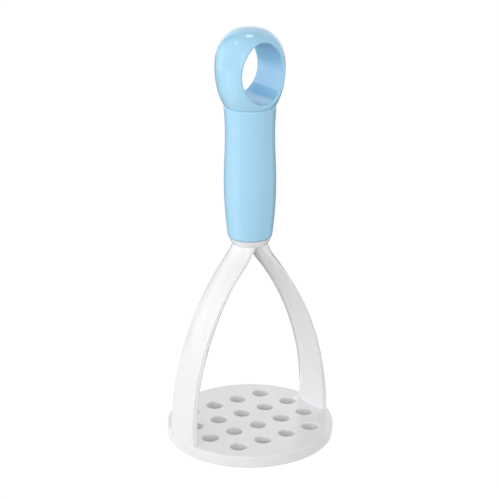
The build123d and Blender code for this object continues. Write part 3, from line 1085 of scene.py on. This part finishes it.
def pale_floor(shade, wash_share):
    """Matt floor, washed towards white where it is seen, so that it keeps a soft shadow."""
    material, tree = new_material("pale_floor")
    matt = add_node(tree, "ShaderNodeBsdfDiffuse", Color=(*shade, 1))
    wash = add_node(tree, "ShaderNodeEmission", Color=WHITE, Strength=WASH_STRENGTH)
    share = worked_out(tree, "MULTIPLY", seen_directly(tree), wash_share)
    surface = blend(tree, share, matt.outputs["BSDF"], wash.outputs["Emission"])
    add_node(tree, "ShaderNodeOutputMaterial", Surface=surface)
    return material


def dark_flag(name, profile, turn, grey):
    """Dark card behind the part: a straight profile of (r, z) turned about Z through these azimuths. Only
    reflections show it, and there it draws the outlines of the part against the white background."""
    profile = np.array(profile)
    points = at_height(profile[:, None, :1] * np.stack([np.sin(turn), -np.cos(turn)], -1), profile[:, 1:])
    material, tree = new_material(name)
    matt = add_node(tree, "ShaderNodeBsdfDiffuse", Color=(*grey, 1))
    add_node(tree, "ShaderNodeOutputMaterial", Surface=matt.outputs["BSDF"])
    flag = welded_mesh(name, [grid_triangles(points, np.broadcast_to(UP, points.shape))], material)
    flag.visible_camera = flag.visible_diffuse = flag.visible_shadow = flag.visible_transmission = False


def aimed(name, data, aim, azimuth, elevation, distance):
    """Lamp or camera that looks at a point from this azimuth, counted from the front, and this elevation."""
    level = math.cos(elevation)
    away = Vector((math.sin(azimuth) * level, -math.cos(azimuth) * level, math.sin(elevation)))
    holder = bpy.data.objects.new(name, data)
    holder.location = aim + away * distance
    holder.rotation_mode = "QUATERNION"
    holder.rotation_quaternion = (-away).to_track_quat("-Z", "Y")
    bpy.context.scene.collection.objects.link(holder)
    return holder


def soft_box(name, watts, size, aim, place, glossy=True, diffuse=True):
    """Rectangular soft box that faces a point from its place. Without glossy it doesn't show in the gloss of
    the part, and without diffuse it only shows there."""
    azimuth, elevation, distance = place
    lamp = bpy.data.lights.new(name, "AREA")
    lamp.shape = "RECTANGLE"
    lamp.size, lamp.size_y = size
    lamp.energy = watts
    holder = aimed(name, lamp, aim, math.radians(azimuth), math.radians(elevation), distance)
    holder.visible_glossy = glossy
    holder.visible_diffuse = diffuse
    holder.visible_camera = False


class MASHER_OT_stage(Operator):
    """Makes the floor, the dark cards, the white room, the lamps and the camera"""

    bl_idname = "masher.stage"
    bl_label = "Stage"

    def execute(self, context):
        stage = context.scene.masher_stage
        corners = [(x * FLOOR_HALF, y * FLOOR_HALF, 0) for x, y in ((-1, -1), (1, -1), (1, 1), (-1, 1))]
        mesh = bpy.data.meshes.new("floor")
        mesh.from_pydata(corners, [], [(0, 1, 2, 3)])
        mesh.materials.append(pale_floor(stage.floor_white, stage.floor_wash))
        floor = bpy.data.objects.new("floor", mesh)
        floor.location.z = -FLOOR_DROP
        context.scene.collection.objects.link(floor)
        near, far, high = stage.flag_near, stage.flag_far, stage.flag_height
        left, grey = stage.flag_stop, stage.flag_grey
        floor_turn = np.linspace(stage.flag_start, left, FLOOR_FLAG_POINTS)
        left_turn = np.linspace(left - stage.flag_turn, left, LEFT_FLAG_POINTS)
        dark_flag("floor_flag", [(near, 0), (far, 0)], floor_turn, grey)
        dark_flag("left_flag", [(far, 0), (far, high)], left_turn, grey)
        white_room(stage.ambient, stage.ambient_fall)

        aim = Vector((0, 0, stage.aim_height))
        soft_box("key_lamp", stage.key_power, LARGE_BOX, aim, KEY_PLACE, glossy=False)
        soft_box("front_lamp", stage.front_power, LARGE_BOX, aim, FRONT_PLACE)
        soft_box("rim_lamp", stage.rim_power, RIM_BOX, aim, RIM_PLACE)
        strip, middle = (STRIP_WIDTH, stage.strip_height), Vector((0, 0, stage.strip_height / 2))
        soft_box("strip_card", stage.strip_card_power, strip, middle, STRIP_PLACE, diffuse=False)
        crown = Vector((0, 0, stage.crown_height))
        soft_box("back_card", stage.back_card_power, BACK_CARD, crown, BACK_CARD_PLACE, diffuse=False)
        soft_box("top_spot", stage.top_spot_power, TOP_SPOT, crown, TOP_SPOT_PLACE, diffuse=False)
        soft_box("side_spot", stage.side_spot_power, SIDE_SPOT, crown, SIDE_SPOT_PLACE, diffuse=False)

        camera = bpy.data.cameras.new("camera")
        camera.sensor_width = SENSOR_WIDTH
        camera.lens = stage.lens
        context.scene.camera = aimed("camera", camera, aim, stage.azimuth, stage.pitch, stage.distance)
        context.scene.view_settings.view_transform = "Standard"
        return {"FINISHED"}


class MASHER_PT_sidebar(Panel):
    """Lists the pieces and the stage, with their settings"""

    bl_idname = "MASHER_PT_sidebar"
    bl_label = "Potato masher"
    bl_space_type = "VIEW_3D"
    bl_region_type = "UI"
    bl_category = "Masher"

    def draw(self, context):
        for operator, settings, _ in STEPS:
            box = self.layout.box()
            box.operator(operator.bl_idname)
            group = getattr(context.scene, settings)
            for name in group.__annotations__:
                box.prop(group, name)


STEPS = (
    (MASHER_OT_mashing_plate, "masher_plate", PlateSettings),
    (MASHER_OT_yoke, "masher_yoke", YokeSettings),
    (MASHER_OT_grip_sleeve, "masher_grip", GripSettings),
    (MASHER_OT_ring_head, "masher_ring", RingSettings),
    (MASHER_OT_tie_hardware, "masher_finish", FinishSettings),
    (MASHER_OT_stage, "masher_stage", StageSettings),
)
OPERATORS, SETTINGS, GROUPS = zip(*STEPS)
CLASSES = (*GROUPS, *OPERATORS, MASHER_PT_sidebar)


def register():
    """Registers the classes and hangs the settings on the scene."""
    for cls in CLASSES:
        bpy.utils.register_class(cls)
    for settings, group in zip(SETTINGS, GROUPS):
        setattr(bpy.types.Scene, settings, PointerProperty(type=group))


def unregister():
    """Takes back what register did."""
    for settings in SETTINGS:
        delattr(bpy.types.Scene, settings)
    for cls in reversed(CLASSES):
        bpy.utils.unregister_class(cls)


def main():
    """Makes every piece and the stage."""
    register()
    bpy.ops.masher.mashing_plate()
    bpy.ops.masher.yoke()
    bpy.ops.masher.grip_sleeve()
    bpy.ops.masher.ring_head()
    bpy.ops.masher.tie_hardware()
    bpy.ops.masher.stage()


if __name__ == "__main__":
    main()
